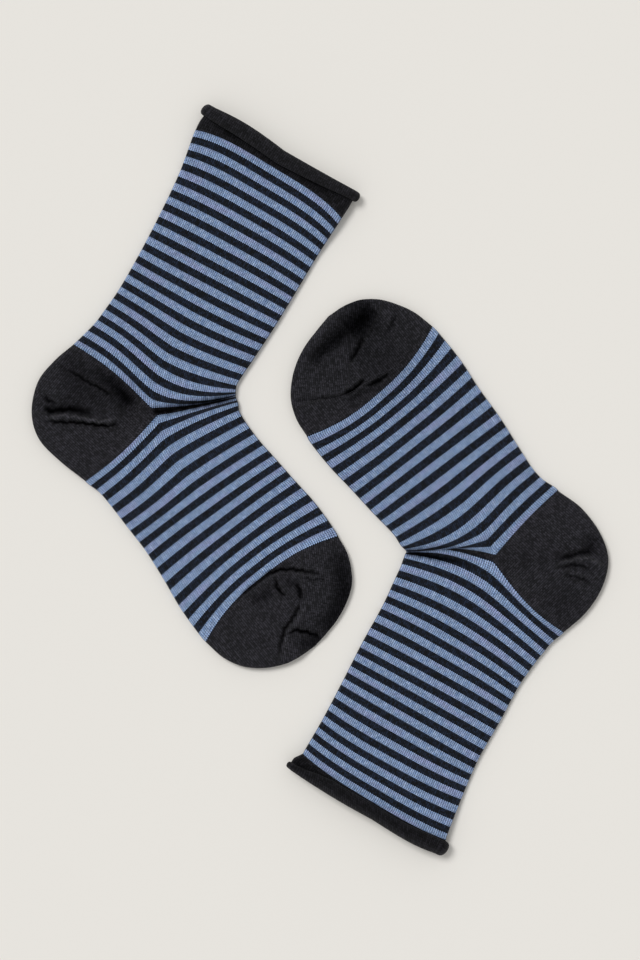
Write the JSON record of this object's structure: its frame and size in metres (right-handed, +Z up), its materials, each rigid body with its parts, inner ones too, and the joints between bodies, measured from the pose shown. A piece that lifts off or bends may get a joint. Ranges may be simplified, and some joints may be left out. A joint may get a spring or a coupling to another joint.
{
  "type": "pair of socks",
  "caption": "Pair of fine-knit striped socks laid flat, toes opposite ways, with rolled cuffs and plain dark heels and toes.",
  "frame": {"origin": "middle of the pair, on the surface that both socks lie on", "axes": "+Z up from the surface, through the flattened socks; +Y from the second sock's rolled cuff to the first sock's rolled cuff, along the picture's height; +X to the picture's right"},
  "size_m": [0.305, 0.398, 0.0117],
  "materials": {
    "dark_knit": "matte fine plain knit in a charcoal wool blend",
    "striped_knit": "matte fine plain knit with narrow stripes of charcoal and melange blue"
  },
  "bodies": {
    "root": {"sock1_cuff": "dark_knit", "sock1_leg": "striped_knit", "sock1_heel": "dark_knit", "sock1_foot": "striped_knit", "sock1_toe": "dark_knit", "sock2_cuff": "dark_knit", "sock2_leg": "striped_knit", "sock2_heel": "dark_knit", "sock2_foot": "striped_knit", "sock2_toe": "dark_knit"}
  },
  "joints": []
}
